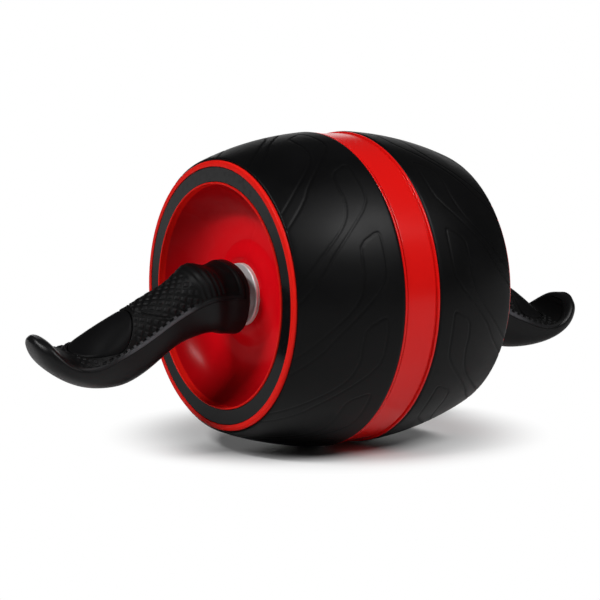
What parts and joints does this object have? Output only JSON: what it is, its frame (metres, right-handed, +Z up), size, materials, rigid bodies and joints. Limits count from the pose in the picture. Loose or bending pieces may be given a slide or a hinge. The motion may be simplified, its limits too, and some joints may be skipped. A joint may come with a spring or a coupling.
{
  "type": "ab wheel roller",
  "caption": "Wide barrel ab roller: black crowned tread with a red centre band and dished red ends, on a steel axle with drooping cushioned handles and a return spring inside.",
  "frame": {"origin": "centre of the wheel, on the axle's middle line", "axes": "+Y along the axle towards the left handle, +Z up, +X the way the roller is pushed out; the floor is at z = -0.0925"},
  "size_m": [0.185, 0.3894, 0.185],
  "materials": {
    "red_plastic": "moulded red plastic, smooth, semi-gloss",
    "band_plastic": "moulded red plastic hoop, satin",
    "tread_rubber": "black rubber, matt with fine grain and cut line grooves",
    "ring_gloss": "polished black plastic inlay",
    "bush_plastic": "natural acetal",
    "pressed_steel": "zinc-plated pressed steel",
    "spring_steel": "blued spring steel strip",
    "tube_steel": "bright plated steel",
    "washer_steel": "bright turned steel",
    "hull_plastic": "moulded black plastic, semi-gloss",
    "grip_rubber": "soft black rubber with square nubs",
    "pad_rubber": "soft black rubber, smooth"
  },
  "bodies": {
    "axle_and_handles": {"axle_tube": "tube_steel", "spring_arbor": "pressed_steel", "arbor_pin": "pressed_steel", "end_washer_left": "washer_steel", "end_washer_right": "washer_steel", "handle_core_left": "hull_plastic", "handle_core_right": "hull_plastic", "grip_left": "grip_rubber", "grip_right": "grip_rubber", "palm_pad_left": "pad_rubber", "palm_pad_right": "pad_rubber", "button_spring_left": "spring_steel", "button_spring_right": "spring_steel"},
    "wheel": {"core_left": "red_plastic", "core_right": "red_plastic", "centre_band": "band_plastic", "tread_left": "tread_rubber", "tread_right": "tread_rubber", "face_ring_left": "ring_gloss", "face_ring_right": "ring_gloss", "hub_bush_left": "bush_plastic", "hub_bush_right": "bush_plastic", "spring_drum": "pressed_steel", "spring_drum_cover": "pressed_steel", "return_spring": "spring_steel", "spring_hook_pin": "pressed_steel", "core_screw_1": "pressed_steel", "core_screw_2": "pressed_steel", "core_screw_3": "pressed_steel", "core_screw_4": "pressed_steel"},
    "button_left": {"snap_button_left": "tube_steel"},
    "button_right": {"snap_button_right": "tube_steel"}
  },
  "joints": [
    {"name": "wheel_roll", "type": "hinge", "parent": "axle_and_handles", "child": "wheel", "pos_m": [0, 0, 0], "axis": [0, 1, 0], "range_deg": [0, 810], "stiffness_Nm_per_rad": 0.4, "deforming": ["return_spring"]},
    {"name": "button_left_press", "type": "slide", "parent": "axle_and_handles", "child": "button_left", "axis": [0.9781, 0, -0.2079], "range_m": [0, 0.0046], "stiffness_N_per_m": 800, "springref_m": -0.01, "deforming": ["button_spring_left"]},
    {"name": "button_right_press", "type": "slide", "parent": "axle_and_handles", "child": "button_right", "axis": [0.9781, 0, -0.2079], "range_m": [0, 0.0046], "stiffness_N_per_m": 800, "springref_m": -0.01, "deforming": ["button_spring_right"]}
  ]
}
